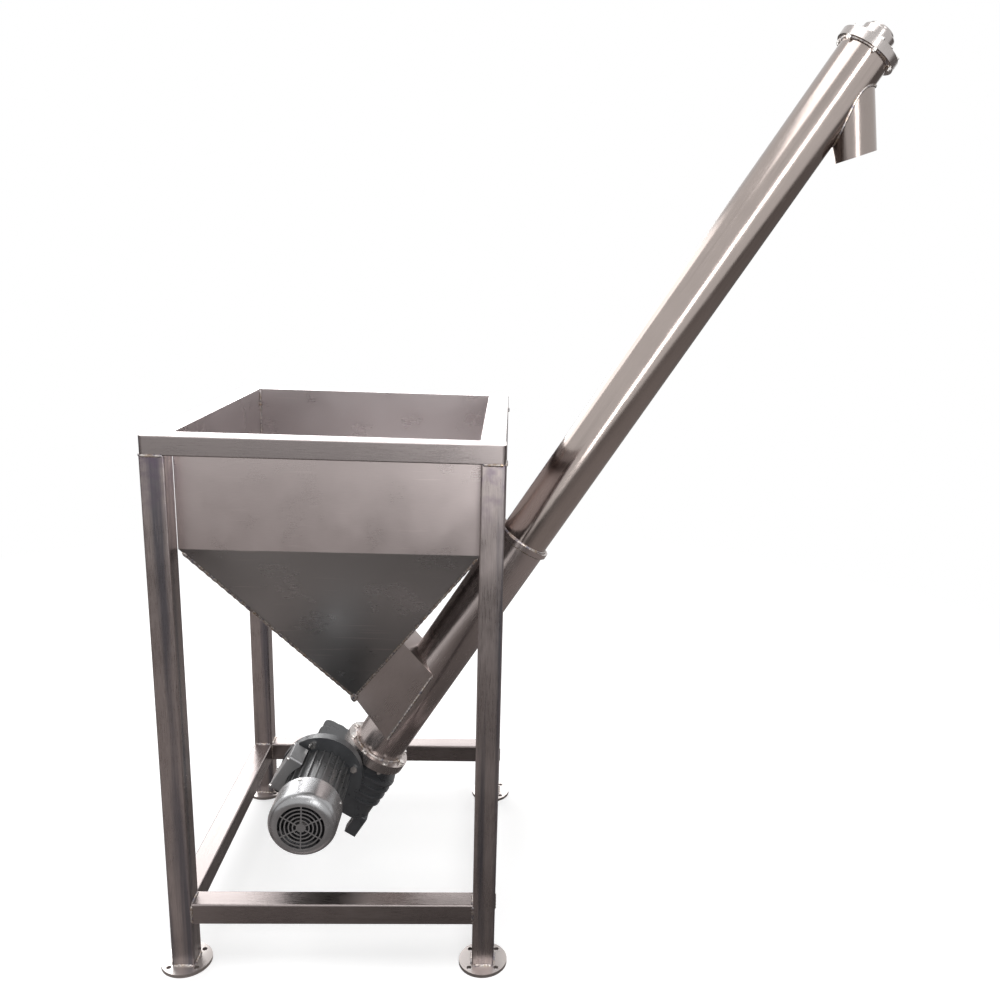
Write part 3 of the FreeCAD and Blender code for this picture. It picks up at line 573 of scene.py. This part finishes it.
class CONVEYOR_OT_frame(bpy.types.Operator):
    """Satin steel on the legs, rails, rim and feet"""
    bl_idname = "conveyor.frame"
    bl_label = "Finish the frame"

    def execute(self, context):
        look = context.scene.conveyor_steel
        grain = look.grain_size
        streak = [c * 0.55 for c in look.frame_color]
        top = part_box("leg_front_left")[1][2]
        heat_tint = (0.20, 0.16, 0.21)
        upright = steel("leg_steel", look.frame_color, 0.30, grain, stretch=(1, 1, 33), contrast=0.24,
                        streak=(0.17, 0.165, 0.185), streak_share=0.9,
                        heat_above=(top - 0.16, top - 0.01, heat_tint))
        # Painted shade: the rails take a darker copy of the leg colour.
        shaded_rail_color = [c * 0.72 for c in look.frame_color]
        along_x = steel("rail_steel_x", shaded_rail_color, 0.30, grain, stretch=(33, 1, 1), contrast=0.16,
                        streak=streak)
        along_y = steel("rail_steel_y", shaded_rail_color, 0.30, grain, stretch=(1, 33, 1), contrast=0.16,
                        streak=streak)
        rim_x = steel("rim_steel_x", look.rim_color, 0.28, grain, stretch=(33, 1, 1))
        rim_y = steel("rim_steel_y", look.rim_color, 0.28, grain, stretch=(1, 33, 1))
        dress(names_with("leg_"), upright)
        dress(["lower_rail_front", "lower_rail_rear"], along_x)
        dress(["lower_rail_left", "lower_rail_right"], along_y)
        dress(["top_rim_front", "top_rim_rear"], rim_x)
        dress(["top_rim_left", "top_rim_right"], rim_y)
        dress(names_with("foot_plate_"),
              steel("foot_steel", [c * 1.25 for c in look.flange_color], 0.34, grain))
        return {"FINISHED"}


class CONVEYOR_OT_hopper(bpy.types.Operator):
    """Satin sheet on the hopper and the chute"""
    bl_idname = "conveyor.hopper"
    bl_label = "Finish the hopper"

    def execute(self, context):
        look = context.scene.conveyor_steel
        # Painted shade: the outside of the sheet below the fold is painted a darker grey, and the faces that
        # look into the hopper take their own colour.
        cone_painted_shade = [sum(look.sheet_color) / 3 * 0.68] * 3
        sheet = steel("hopper_sheet", look.sheet_color, 0.30, look.grain_size, stretch=(25, 25, 1),
                      contrast=0.05, waviness=0.004, line_depth=0.01, line_gloss=0.012,
                      painted_shade_below=(0.9, FOLD_HEIGHT, cone_painted_shade), bright_inside=(0.58, 0.54, 0.54))
        dress(names_with("hopper_wall_"), sheet)
        dress(names_with("chute_", "tube_gusset"),
              steel("chute_sheet", look.pipe_color, 0.30, look.grain_size, turn=(0, AXIS_TILT, 0),
                    stretch=(1, 1, 25), waviness=0.002, line_depth=0.02, line_gloss=0.015))
        return {"FINISHED"}


class CONVEYOR_OT_tube(bpy.types.Operator):
    """Polished steel on the tube, its collar and the spout"""
    bl_idname = "conveyor.tube"
    bl_label = "Finish the tube"

    def execute(self, context):
        look = context.scene.conveyor_steel
        turn = (0, AXIS_TILT, 0)
        polish = steel("tube_polish", look.tube_color, 0.15, look.grain_size, turn=turn, stretch=(1, 1, 33),
                       contrast=0.07, smudge=0.08, streak=[c * 0.72 for c in look.tube_color],
                       waviness=0.0006)
        dress(["upper_tube"], polish)
        dull = steel("pipe_steel", look.pipe_color, 0.24, look.grain_size, turn=turn, stretch=(1, 1, 33),
                     waviness=0.001)
        dress(["lower_tube", "joint_collar"], dull)
        dress(["discharge_spout"],
              steel("spout_polish", [c * 0.8 for c in look.tube_color], 0.22, look.grain_size,
                    stretch=(1, 1, 33), contrast=0.07))
        turned = steel("turned_steel", look.flange_color, 0.24, look.grain_size, turn=turn,
                       stretch=(1, 1, 20))
        dress(["tube_end_flange", "drive_plate", "top_flange", "top_cover", "end_bearing_housing",
               "end_bearing_cap"], turned)
        dress(["end_bearing_outer_ring", "end_bearing_inner_ring", "end_bearing_balls", "screw_shaft",
               "screw_flight", "feed_flight"], steel("screw_steel", look.tube_color, 0.3, look.grain_size))
        bright = steel("fastener_steel", (0.7, 0.68, 0.66), 0.22, 0.0004)
        dress(["end_flange_bolts", "top_flange_bolts", "end_housing_screws", "motor_flange_bolts"], bright)
        dress(["shaft_seal"], paint("seal_rubber", (0.02, 0.02, 0.02), 0.6))
        return {"FINISHED"}


class CONVEYOR_OT_gearmotor(bpy.types.Operator):
    """Paint on the gearbox and the motor"""
    bl_idname = "conveyor.gearmotor"
    bl_label = "Finish the gearmotor"

    def execute(self, context):
        look = context.scene.conveyor_paint
        dark = paint("gearbox_paint", look.gearbox_color, 0.28)
        light = paint("motor_paint", look.motor_color, 0.30, metal=0.35)
        plastic = paint("black_plastic", (0.025, 0.025, 0.027), 0.5)
        dress(["gearbox_housing", "worm_end_cap", "motor_flange"], dark)
        dress(["motor_end_shield", "terminal_box", "terminal_box_lid"], light)
        dress(["fan_cover"], paint("cover_paint", [c * 1.25 for c in look.motor_color], 0.22, metal=0.8))
        # Painted shade: the finned motor body takes the motor paint at half its brightness, for the shade
        # between its fins.
        dress(["motor_housing"],
              paint("motor_body_painted_shade", [c * 0.5 for c in look.motor_color], 0.28, metal=0.35))
        dress(["cooling_fan", "cable_gland", "output_cap"], plastic)
        dress(["worm_wheel"], steel("bronze", (0.62, 0.42, 0.2), 0.3, 0.001))
        dress(["worm_shaft", "motor_rotor"], steel("shaft_steel", (0.5, 0.5, 0.5), 0.25, 0.001))
        return {"FINISHED"}


class CONVEYOR_OT_frame_welds(bpy.types.Operator):
    """Weld beads where rails, rim and feet meet the legs"""
    bl_idname = "conveyor.frame_welds"
    bl_label = "Weld the frame"

    def execute(self, context):
        look = context.scene.conveyor_welds
        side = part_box("leg_front_left")[1][0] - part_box("leg_front_left")[0][0]
        bead_share, rail_top, rail_side = 0.86, 0.5, 0.47
        master = straight_bead(side * bead_share, look.bead_width, look.ripple_length)
        upward = Vector((0, 0, 1))
        rail_low, rail_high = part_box("lower_rail_front")[0][2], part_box("lower_rail_front")[1][2]
        rail_middle = (rail_low + rail_high) / 2
        beads = []
        for name in names_with("leg_"):
            low, high = (Vector(corner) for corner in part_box(name))
            middle = (low + high) / 2
            inward = Vector((-math.copysign(1, middle.x), -math.copysign(1, middle.y), 0))
            for height in (low.z, high.z):
                for turn in range(4):
                    out = Matrix.Rotation(turn * math.pi / 2, 3, "Z") @ Vector((1, 0, 0))
                    if height == low.z or out.dot(inward) < 0:
                        edge = Vector((middle.x, middle.y, height)) + out * side / 2
                        beads.append(settle(copy_piece(master), edge, out.cross(upward)))
            for out in (Vector((inward.x, 0, 0)), Vector((0, inward.y, 0))):
                across = upward.cross(out)
                joint = Vector((middle.x, middle.y, rail_middle)) + out * side / 2
                for step, share, direction in ((upward, rail_top, across), (-upward, rail_top, across),
                                               (across, rail_side, upward), (-across, rail_side, upward)):
                    beads.append(settle(copy_piece(master), joint + step * side * share, direction))
        bpy.data.objects.remove(master)
        finish_piece(join_pieces(beads, "frame_welds"), weld_metal("weld_metal"))
        return {"FINISHED"}


class CONVEYOR_OT_hopper_welds(bpy.types.Operator):
    """Weld beads along the hopper's corners and the chute"""
    bl_idname = "conveyor.hopper_welds"
    bl_label = "Weld the hopper"

    def execute(self, context):
        look = context.scene.conveyor_welds
        width, ripple = look.bead_width, look.ripple_length
        thin = width * THIN_BEAD
        low, high = (Vector(corner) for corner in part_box("hopper_wall_front"))
        corner = Vector((high.x, -low.y, FOLD_HEIGHT))
        tip = Vector((0.0, -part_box("chute_side_front")[0][1], low.z))
        beads = []
        for way_x in (-1, 1):
            for way_y in (-1, 1):
                top = Vector((way_x * corner.x, way_y * corner.y, FOLD_HEIGHT))
                foot = Vector((0.0, way_y * tip.y, tip.z))
                slope = (foot - top).normalized()
                beads.append(run_bead(top + slope * CORNER_STOP, foot - slope * CORNER_STOP, width, ripple))
                inner = top - Vector((way_x, way_y, 0)) * (SHEET * 1.25) + Vector((0, 0, SHEET))
                inner_foot = foot - Vector((0, way_y, 0)) * (SHEET * 1.6) + Vector((0, 0, 2.2 * SHEET))
                inner_top = Vector((inner.x, inner.y, high.z - EDGE_STOP))
                beads.append(run_bead(inner, inner_foot, thin, ripple))
                beads.append(run_bead(inner, inner_top, thin, ripple))
        tip_right, tip_rise, blob_rise = 0.006, 0.008, 0.006
        chute_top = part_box("chute_side_front")[1][2]
        chute_right = corner.x * (chute_top - tip.z) / (FOLD_HEIGHT - tip.z)
        for way_y in (-1, 1):
            beside = way_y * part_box("chute_side_rear")[1][1]
            beads.append(run_bead(Vector((tip_right, beside, tip.z + tip_rise)),
                                  Vector((chute_right, beside, chute_top)), thin, ripple))
        for way_y in (-1, 1):
            corner_y = way_y * (tip.y + SHEET_STAND_OFF)
            beads.append(weld_blob(Vector((0.0, corner_y, tip.z + blob_rise)), width))
        beads += self.gusset_beads(thin, ripple)
        finish_piece(join_pieces(beads, "hopper_welds"), shared("weld_metal"))
        return {"FINISHED"}

    def gusset_beads(self, width, ripple):
        """Beads on both sides of the plate between the hopper and the tube."""
        side_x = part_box("hopper_wall_right")[1][0]
        tube_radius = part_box("upper_tube")[1][1]
        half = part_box("tube_gusset")[1][1]
        above = tube_radius + TUBE_STAND_OFF
        trim = 0.04
        beads = []
        for way in (-1, 1):
            beside = Vector((0.0, way * (half + SHEET_STAND_OFF), 0.0))
            walls = [Vector((side_x + WALL_STAND_OFF, 0.0, FOLD_HEIGHT + rise)) for rise in GUSSET_RISES]
            beads.append(run_bead(walls[0] + beside, walls[1] + beside, width, ripple))
            low, high = (beside_tube((wall - AXIS_ORIGIN).dot(AXIS) - drop, above) + beside
                         for wall, drop in zip(walls, GUSSET_DROPS))
            beads.append(run_bead(low.lerp(high, trim), high, width, ripple))
        return beads


class CONVEYOR_OT_tube_welds(bpy.types.Operator):
    """Weld beads round the tube, along the chute and round the spout"""
    bl_idname = "conveyor.tube_welds"
    bl_label = "Weld the tube"

    def execute(self, context):
        look = context.scene.conveyor_welds
        width, ripple = look.bead_width, look.ripple_length
        tube_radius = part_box("upper_tube")[1][1]
        sleeve_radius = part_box("lower_tube")[1][1]
        beads = []
        for along, radius in ((TOP_FLANGE_LOW, tube_radius), (COLLAR_END, tube_radius),
                              (COLLAR_START, sleeve_radius), (END_FLANGE_HIGH, sleeve_radius)):
            beads.append(ring_bead(beside_tube(along), AXIS, radius + width * 0.2, width, ripple))
        for way in (-1, 1):
            front = way * (sleeve_radius + WALL_STAND_OFF)
            beads.append(run_bead(beside_tube(CHUTE_START, 0.0, front), beside_tube(CHUTE_END, 0.0, front),
                                  width, ripple))
        beads.append(self.spout_bead(width))
        finish_piece(join_pieces(beads, "tube_welds"), shared("weld_metal"))
        return {"FINISHED"}

    def spout_bead(self, width):
        """The bead where the spout meets the tube: a ring under the tube, thrown up on to its wall."""
        down = Vector((math.sin(SPOUT_LEAN), 0.0, -math.cos(SPOUT_LEAN)))
        ring_drop, ripples = 0.16, 120
        bpy.ops.object.select_all(action="DESELECT")
        bpy.ops.mesh.primitive_circle_add(vertices=ripples, radius=SPOUT_RADIUS + SPOUT_STAND_OFF,
                                          location=(0, 0, 0))
        bead = bpy.context.object
        bead.rotation_euler = down.to_track_quat("Z", "Y").to_euler()
        bead.location = beside_tube(TUBE_END - SPOUT_SETBACK) + down * ring_drop
        wrap = bead.modifiers.new("meet_tube", "SHRINKWRAP")
        wrap.wrap_method = "PROJECT"
        wrap.use_project_z = True
        wrap.use_positive_direction = False
        wrap.use_negative_direction = True
        wrap.target = NODES["upper_tube"]
        bpy.ops.object.modifier_apply(modifier=wrap.name)
        bpy.ops.object.convert(target="CURVE")
        bead = bpy.context.object
        bead.data.bevel_depth = width / 2
        bead.data.bevel_resolution = 2
        for step, point in enumerate(bead.data.splines[0].points):
            point.radius = 1.0 if step % 2 else 1.25
        bpy.ops.object.convert(target="MESH")
        bead = bpy.context.object
        bpy.ops.object.transform_apply(location=True, rotation=True, scale=True)
        return bead


class CONVEYOR_OT_fittings(bpy.types.Operator):
    """Screws of the motor's covers, the oil plugs and the grease nipple"""
    bl_idname = "conveyor.fittings"
    bl_label = "Fit the small parts"

    def execute(self, context):
        bright = shared("fastener_steel")
        screw = socket_screw(COVER_SCREW_RADIUS, COVER_SCREW_HEIGHT)
        heads = []
        for along in LID_SCREWS_ALONG:
            for front in LID_SCREWS_FRONT:
                heads.append(settle(copy_piece(screw), beside_tube(along, LID_TOP, front), ABOVE))
        cover_low, cover_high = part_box("fan_cover")
        cover_radius = (cover_high[0] - cover_low[0]) / 2
        cover_middle = Vector((MOTOR_POINT.x, -COVER_SCREWS, MOTOR_POINT.z))
        for turn in range(4):
            angle = math.pi / 4 + turn * math.pi / 2
            out = AXIS * math.cos(angle) + ABOVE * math.sin(angle)
            place = cover_middle + out * (cover_radius - COVER_SCREW_SINK)
            heads.append(settle(copy_piece(screw), place, out))
        bpy.data.objects.remove(screw)
        finish_piece(join_pieces(heads, "cover_screws"), bright)
        plug = socket_screw(OIL_PLUG_RADIUS, OIL_PLUG_HEIGHT)
        plugs = [settle(copy_piece(plug), beside_tube(GEARBOX_LOW, above, front), -AXIS)
                 for above, front in OIL_PLUG_PLACES]
        bpy.data.objects.remove(plug)
        finish_piece(join_pieces(plugs, "oil_plugs"), bright)
        nipple = settle(grease_nipple(NIPPLE_RADIUS, NIPPLE_HEIGHT),
                        beside_tube(TOP_NIPPLE, END_HOUSING_RADIUS - NIPPLE_SINK), ABOVE)
        finish_piece(join_pieces([nipple], "grease_nipple"), bright)
        return {"FINISHED"}


class CONVEYOR_OT_stage(bpy.types.Operator):
    """Floor, backdrop, lamps and camera"""
    bl_idname = "conveyor.stage"
    bl_label = "Set the stage"

    def execute(self, context):
        studio = context.scene.conveyor_studio
        make_floor(studio)
        make_lamps()
        make_world()
        make_camera(studio)
        context.scene.view_settings.view_transform = "Standard"
        return {"FINISHED"}


def seen_rays(nodes, links):
    """Two values: 1 where the camera looks straight at a surface, and 1 where it also sees it in a mirror."""
    path = nodes.new("ShaderNodeLightPath")
    straight = path.outputs["Is Camera Ray"]
    mirrored = combine(nodes, links, "MAXIMUM", path.outputs["Is Glossy Ray"],
                       path.outputs["Is Transmission Ray"])
    return straight, combine(nodes, links, "MAXIMUM", straight, mirrored)


def mix_shaders(nodes, links, factor, first, second):
    mix = nodes.new("ShaderNodeMixShader")
    links.new(factor, mix.inputs["Fac"])
    links.new(first, mix.inputs[1])
    links.new(second, mix.inputs[2])
    return mix.outputs["Shader"]


def flat_shader(nodes, kind, color, output, strength=None):
    shader = nodes.new(kind)
    shader.inputs["Color"].default_value = (*color, 1)
    if strength is not None:
        shader.inputs["Strength"].default_value = strength
    return shader.outputs[output]


def make_floor(studio):
    """A pale floor that keeps the object's shadow and runs into the white background.

    The steel mirrors a plain darker floor instead, with a painted shadow that makes it darkest beside the
    hopper.
    """
    fade_start, fade_end = 1.7, 3.4
    open_start, open_end, open_turn = 4.3, 5.3, math.radians(-70)
    bpy.ops.object.select_all(action="DESELECT")
    bpy.ops.mesh.primitive_plane_add(size=60.0, location=(0, 0, 0))
    floor = bpy.context.object
    floor.name = "studio_floor"
    material, nodes, links = new_material("floor_paint")
    nodes.remove(nodes["Principled BSDF"])
    camera_ray, seen = seen_rays(nodes, links)
    lit = flat_shader(nodes, "ShaderNodeBsdfDiffuse", (0.72, 0.72, 0.72), "BSDF")
    lift = flat_shader(nodes, "ShaderNodeEmission", (1, 1, 1), "Emission", 0.5)
    both = nodes.new("ShaderNodeAddShader")
    links.new(lit, both.inputs[0])
    links.new(lift, both.inputs[1])
    sides = nodes.new("ShaderNodeSeparateXYZ")
    links.new(object_space(nodes, links), sides.inputs["Vector"])
    # Painted shadow: the floor that the steel mirrors is painted darker beside the hopper, under the tube.
    shaded = combine(nodes, links, "MULTIPLY",
                     spread(nodes, links, sides.outputs["X"], 0.0, 1.0, -0.7, 0.4),
                     spread(nodes, links, sides.outputs["X"], 1.0, -0.6, 0.7, 1.5))
    shade = [c * 0.5 for c in studio.floor_color]
    unseen = nodes.new("ShaderNodeBsdfDiffuse")
    links.new(blend_color(nodes, links, shaded, tuple(studio.floor_color), shade), unseen.inputs["Color"])
    plain = unseen.outputs["BSDF"]
    near = mix_shaders(nodes, links, camera_ray, plain, both.outputs["Shader"])
    white = flat_shader(nodes, "ShaderNodeEmission", (1, 1, 1), "Emission", 1.0)
    far = mix_shaders(nodes, links, seen, plain, white)
    length = nodes.new("ShaderNodeVectorMath")
    length.operation = "LENGTH"
    links.new(object_space(nodes, links), length.inputs[0])
    away = spread(nodes, links, length.outputs["Value"], 0.0, 1.0, fade_start, fade_end)
    split = nodes.new("ShaderNodeSeparateXYZ")
    links.new(object_space(nodes, links, turn=(0, 0, open_turn)), split.inputs["Vector"])
    open_side = spread(nodes, links, split.outputs["X"], 0.0, 1.0, open_start, open_end)
    fade = combine(nodes, links, "MAXIMUM", combine(nodes, links, "MULTIPLY", away, camera_ray), open_side)
    links.new(mix_shaders(nodes, links, fade, near, far), nodes["Material Output"].inputs["Surface"])
    floor.data.materials.append(material)


def make_lamp(name, place, target, size, radiance, long_way=None):
    """A softbox of one radiance, unseen by the camera, its long side along a direction."""
    lamp = bpy.data.lights.new(name, "AREA")
    lamp.shape = "RECTANGLE"
    lamp.size = size[0]
    lamp.size_y = size[1]
    lamp.energy = radiance * math.pi * size[0] * size[1]
    holder = bpy.data.objects.new(name, lamp)
    back = (Vector(place) - Vector(target)).normalized()
    side = Vector(long_way or (1.0, 0.0, 0.0))
    side = (side - back * side.dot(back)).normalized()
    turn = Matrix((side, back.cross(side), back)).transposed().to_4x4()
    holder.matrix_world = Matrix.Translation(place) @ turn
    holder.visible_camera = False
    bpy.context.scene.collection.objects.link(holder)


def make_lamps():
    make_lamp("top_softbox", Vector((0.2, -0.6, 4.6)), Vector((0.2, 0, 0.6)), (3.4, 3.0), 2.6)
    make_lamp("rear_softbox", Vector((-1.6, 4.8, 2.2)), Vector((0, 0, 1.0)), (5.0, 1.8), 3.0)
    make_lamp("front_strip", beside_tube(1.85, 0.0, 1.9), beside_tube(1.75), (2.1, 0.36), 6.0, AXIS)
    make_lamp("left_softbox", beside_tube(0.9, 1.99, -1.67), beside_tube(0.9), (2.2, 2.2), 1.9, AXIS)


def make_world():
    world = bpy.data.worlds.new("studio_world")
    bpy.context.scene.world = world
    world.use_nodes = True
    nodes = world.node_tree.nodes
    links = world.node_tree.links
    background = nodes["Background"]
    direction = nodes.new("ShaderNodeTexCoord")
    split = nodes.new("ShaderNodeSeparateXYZ")
    links.new(direction.outputs["Generated"], split.inputs["Vector"])
    height = spread(nodes, links, split.outputs["Z"], 0.0, 1.0, -0.15, 0.7)
    low_grey, high_grey = (0.25, 0.25, 0.25), (0.5, 0.5, 0.5)
    links.new(blend_color(nodes, links, height, low_grey, high_grey), background.inputs["Color"])
    white = flat_shader(nodes, "ShaderNodeBackground", (1, 1, 1), "Background", 1.0)
    seen = seen_rays(nodes, links)[1]
    links.new(mix_shaders(nodes, links, seen, background.outputs["Background"], white),
              nodes["World Output"].inputs["Surface"])


def make_camera(studio):
    pitch, yaw, roll = studio.camera_pitch, studio.camera_yaw, studio.camera_roll
    forward = Vector((math.sin(yaw) * math.cos(pitch), math.cos(yaw) * math.cos(pitch), -math.sin(pitch)))
    right = Vector((math.cos(yaw), -math.sin(yaw), 0.0))
    up = right.cross(forward)
    leaned_right = right * math.cos(roll) + up * math.sin(roll)
    leaned_up = up * math.cos(roll) - right * math.sin(roll)
    data = bpy.data.cameras.new("photo_camera")
    data.sensor_width = SENSOR_WIDTH
    data.lens = SENSOR_WIDTH * studio.focal_pixels / PICTURE_SIZE
    data.shift_x = (PICTURE_SIZE / 2 - studio.centre_pixel) / PICTURE_SIZE
    data.clip_start = 0.05
    data.clip_end = 90.0
    camera = bpy.data.objects.new("photo_camera", data)
    basis = Matrix((leaned_right, leaned_up, -forward)).transposed().to_4x4()
    camera.matrix_world = Matrix.Translation(Vector(studio.camera_place)) @ basis
    bpy.context.scene.collection.objects.link(camera)
    bpy.context.scene.camera = camera


OPERATORS = (
    CONVEYOR_OT_frame,
    CONVEYOR_OT_hopper,
    CONVEYOR_OT_tube,
    CONVEYOR_OT_gearmotor,
    CONVEYOR_OT_frame_welds,
    CONVEYOR_OT_hopper_welds,
    CONVEYOR_OT_tube_welds,
    CONVEYOR_OT_fittings,
    CONVEYOR_OT_stage,
)
GROUPS = (
    (ConveyorSteel, "conveyor_steel"),
    (ConveyorWelds, "conveyor_welds"),
    (ConveyorPaint, "conveyor_paint"),
    (ConveyorStudio, "conveyor_studio"),
)


class CONVEYOR_PT_panel(bpy.types.Panel):
    """Lists the values and the steps that finish the conveyor"""
    bl_idname = "CONVEYOR_PT_panel"
    bl_label = "Screw conveyor"
    bl_space_type = "VIEW_3D"
    bl_region_type = "UI"
    bl_category = "Conveyor"

    def draw(self, context):
        for group, place in GROUPS:
            values = getattr(context.scene, place)
            for name in group.__annotations__:
                self.layout.prop(values, name)
        for operator in OPERATORS:
            self.layout.operator(operator.bl_idname)


def register():
    for group, place in GROUPS:
        bpy.utils.register_class(group)
        setattr(bpy.types.Scene, place, bpy.props.PointerProperty(type=group))
    for operator in OPERATORS:
        bpy.utils.register_class(operator)
    bpy.utils.register_class(CONVEYOR_PT_panel)


def unregister():
    bpy.utils.unregister_class(CONVEYOR_PT_panel)
    for operator in reversed(OPERATORS):
        bpy.utils.unregister_class(operator)
    for group, place in reversed(GROUPS):
        delattr(bpy.types.Scene, place)
        bpy.utils.unregister_class(group)


def main():
    register()
    bpy.ops.conveyor.frame()
    bpy.ops.conveyor.hopper()
    bpy.ops.conveyor.tube()
    bpy.ops.conveyor.gearmotor()
    bpy.ops.conveyor.frame_welds()
    bpy.ops.conveyor.hopper_welds()
    bpy.ops.conveyor.tube_welds()
    bpy.ops.conveyor.fittings()
    bpy.ops.conveyor.stage()


if __name__ == "__main__":
    main()
